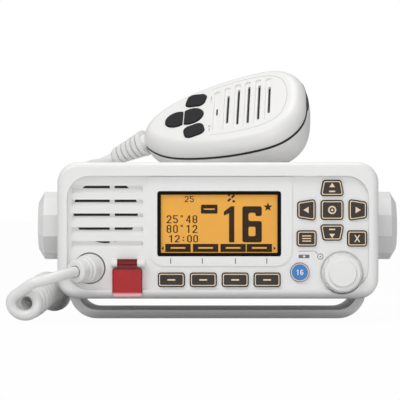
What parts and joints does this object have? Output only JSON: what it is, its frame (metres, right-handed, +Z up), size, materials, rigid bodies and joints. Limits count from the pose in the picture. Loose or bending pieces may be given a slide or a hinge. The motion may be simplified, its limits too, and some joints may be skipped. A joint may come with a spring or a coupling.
{
  "type": "vhf marine radio",
  "caption": "Fixed-mount marine radio in a tilting U bracket, with display, keys, dial, hinged distress cover and a hand microphone on a coiled cord.",
  "frame": {"origin": "centre of the bracket's four screw holes, on the underside of its base", "axes": "+X to the viewer's right, +Y from the front panel to the back, +Z up"},
  "size_m": [0.1922, 0.1397, 0.1249],
  "materials": {
    "white_gloss": "satin white moulded plastic",
    "white_case": "white powder coat on die-cast metal",
    "bracket_white": "fine satin white",
    "key_rubber": "matt charcoal key",
    "blue_key": "matt blue key",
    "mic_key_rubber": "matt black key",
    "red_clear": "clear red plastic",
    "red_key": "matt red key",
    "lens": "clear window",
    "mask_black": "printed black",
    "lcd": "amber display",
    "seal_rubber": "black rubber",
    "board_green": "solder resist",
    "speaker_black": "paper and steel",
    "steel": "stainless steel",
    "nickel": "nickel plate",
    "brass": "turned brass",
    "inlet_rubber": "black rubber",
    "cord_vinyl": "white vinyl"
  },
  "bodies": {
    "bracket": {"mounting_bracket": "bracket_white", "pivot_washers": "seal_rubber"},
    "radio": {"chassis": "white_case", "front_panel": "white_gloss", "front_gasket": "seal_rubber", "display_lens": "lens", "display_mask": "mask_black", "lcd_module": "lcd", "keypad_mat": "seal_rubber", "key_circuit_board": "board_green", "main_circuit_board": "board_green", "speaker": "speaker_black", "speaker_mesh": "speaker_black", "cord_gland": "white_gloss", "distress_hinge_pin": "steel", "dial_encoder": "steel", "case_screws": "steel", "antenna_connector": "nickel", "rear_glands": "inlet_rubber", "pivot_inserts": "brass", "cord_front_lead": "cord_vinyl", "cord_coil": "cord_vinyl", "cord_rear_lead": "cord_vinyl"},
    "left_clamp": {"left_clamp_knob": "white_gloss", "left_clamp_screw": "steel"},
    "right_clamp": {"right_clamp_knob": "white_gloss", "right_clamp_screw": "steel"},
    "dial_shaft": {"dial_spindle": "steel"},
    "dial": {"volume_dial": "white_gloss"},
    "cover": {"distress_cover": "red_clear"},
    "microphone": {"mic_front_shell": "white_gloss", "mic_rear_shell": "white_gloss", "mic_seal": "seal_rubber", "mic_grille_mesh": "speaker_black", "mic_circuit_board": "board_green", "mic_speaker": "speaker_black", "mic_hanger_button": "white_gloss", "mic_boot": "white_gloss", "mic_screws": "steel"},
    "key_up_body": {"key_up": "key_rubber"},
    "key_down_body": {"key_down": "key_rubber"},
    "key_left_body": {"key_left": "key_rubber"},
    "key_right_body": {"key_right": "key_rubber"},
    "key_enter_body": {"key_enter": "key_rubber"},
    "key_menu_body": {"key_menu": "key_rubber"},
    "key_clear_body": {"key_clear": "key_rubber"},
    "key_channel_16_body": {"key_channel_16": "blue_key"},
    "soft_key_1_body": {"soft_key_1": "key_rubber"},
    "soft_key_2_body": {"soft_key_2": "key_rubber"},
    "soft_key_3_body": {"soft_key_3": "key_rubber"},
    "soft_key_4_body": {"soft_key_4": "key_rubber"},
    "distress_button_body": {"distress_button": "red_key"},
    "mic_key_high_body": {"mic_key_high": "mic_key_rubber"},
    "mic_key_low_body": {"mic_key_low": "mic_key_rubber"},
    "mic_key_channel_up_body": {"mic_key_channel_up": "mic_key_rubber"},
    "mic_key_channel_down_body": {"mic_key_channel_down": "mic_key_rubber"},
    "mic_ptt_body": {"mic_ptt_button": "mic_key_rubber"}
  },
  "joints": [
    {"name": "radio_tilt", "type": "hinge", "parent": "bracket", "child": "radio", "pos_m": [0, -0.011, 0.0462], "axis": [1, 0, 0], "range_deg": [-14, 10]},
    {"name": "left_clamp_turn", "type": "hinge", "parent": "bracket", "child": "left_clamp", "pos_m": [0, -0.011, 0.0462], "axis": [-1, 0, 0], "range_deg": [0, 720]},
    {"name": "right_clamp_turn", "type": "hinge", "parent": "bracket", "child": "right_clamp", "pos_m": [0, -0.011, 0.0462], "axis": [1, 0, 0], "range_deg": [0, 720]},
    {"name": "dial_push", "type": "slide", "parent": "radio", "child": "dial_shaft", "axis": [0, 1, 0], "range_m": [0, 0.0008], "stiffness_N_per_m": 800},
    {"name": "dial_turn", "type": "hinge", "parent": "dial_shaft", "child": "dial", "pos_m": [0.0604, -0.058, 0.0236], "axis": [0, 1, 0], "continuous": true},
    {"name": "cover_open", "type": "hinge", "parent": "radio", "child": "cover", "pos_m": [-0.0441, -0.0606, 0.0283], "axis": [-1, 0, 0], "range_deg": [0, 100], "stiffness_Nm_per_rad": 0.01},
    {"name": "microphone_lift", "type": "slide", "parent": "radio", "child": "microphone", "axis": [0, 0, 1], "range_m": [0, 0.1]},
    {"name": "key_up_body_push", "type": "slide", "parent": "radio", "child": "key_up_body", "axis": [0, 1, 0], "range_m": [0, 0.0008], "stiffness_N_per_m": 600},
    {"name": "key_down_body_push", "type": "slide", "parent": "radio", "child": "key_down_body", "axis": [0, 1, 0], "range_m": [0, 0.0008], "stiffness_N_per_m": 600},
    {"name": "key_left_body_push", "type": "slide", "parent": "radio", "child": "key_left_body", "axis": [0, 1, 0], "range_m": [0, 0.0008], "stiffness_N_per_m": 600},
    {"name": "key_right_body_push", "type": "slide", "parent": "radio", "child": "key_right_body", "axis": [0, 1, 0], "range_m": [0, 0.0008], "stiffness_N_per_m": 600},
    {"name": "key_enter_body_push", "type": "slide", "parent": "radio", "child": "key_enter_body", "axis": [0, 1, 0], "range_m": [0, 0.0008], "stiffness_N_per_m": 600},
    {"name": "key_menu_body_push", "type": "slide", "parent": "radio", "child": "key_menu_body", "axis": [0, 1, 0], "range_m": [0, 0.0008], "stiffness_N_per_m": 600},
    {"name": "key_clear_body_push", "type": "slide", "parent": "radio", "child": "key_clear_body", "axis": [0, 1, 0], "range_m": [0, 0.0008], "stiffness_N_per_m": 600},
    {"name": "key_channel_16_body_push", "type": "slide", "parent": "radio", "child": "key_channel_16_body", "axis": [0, 1, 0], "range_m": [0, 0.0008], "stiffness_N_per_m": 600},
    {"name": "soft_key_1_body_push", "type": "slide", "parent": "radio", "child": "soft_key_1_body", "axis": [0, 1, 0], "range_m": [0, 0.0008], "stiffness_N_per_m": 600},
    {"name": "soft_key_2_body_push", "type": "slide", "parent": "radio", "child": "soft_key_2_body", "axis": [0, 1, 0], "range_m": [0, 0.0008], "stiffness_N_per_m": 600},
    {"name": "soft_key_3_body_push", "type": "slide", "parent": "radio", "child": "soft_key_3_body", "axis": [0, 1, 0], "range_m": [0, 0.0008], "stiffness_N_per_m": 600},
    {"name": "soft_key_4_body_push", "type": "slide", "parent": "radio", "child": "soft_key_4_body", "axis": [0, 1, 0], "range_m": [0, 0.0008], "stiffness_N_per_m": 600},
    {"name": "distress_button_body_push", "type": "slide", "parent": "radio", "child": "distress_button_body", "axis": [0, 1, 0], "range_m": [0, 0.0008], "stiffness_N_per_m": 600},
    {"name": "mic_key_high_body_push", "type": "slide", "parent": "microphone", "child": "mic_key_high_body", "axis": [0.2992, 0.5597, -0.7728], "range_m": [0, 0.0007], "stiffness_N_per_m": 500},
    {"name": "mic_key_low_body_push", "type": "slide", "parent": "microphone", "child": "mic_key_low_body", "axis": [0.2992, 0.5597, -0.7728], "range_m": [0, 0.0007], "stiffness_N_per_m": 500},
    {"name": "mic_key_channel_up_body_push", "type": "slide", "parent": "microphone", "child": "mic_key_channel_up_body", "axis": [0.2992, 0.5597, -0.7728], "range_m": [0, 0.0007], "stiffness_N_per_m": 500},
    {"name": "mic_key_channel_down_body_push", "type": "slide", "parent": "microphone", "child": "mic_key_channel_down_body", "axis": [0.2992, 0.5597, -0.7728], "range_m": [0, 0.0007], "stiffness_N_per_m": 500},
    {"name": "mic_ptt_body_push", "type": "slide", "parent": "microphone", "child": "mic_ptt_body", "axis": [-0.0444, -0.8008, -0.5973], "range_m": [0, 0.001], "stiffness_N_per_m": 700}
  ]
}
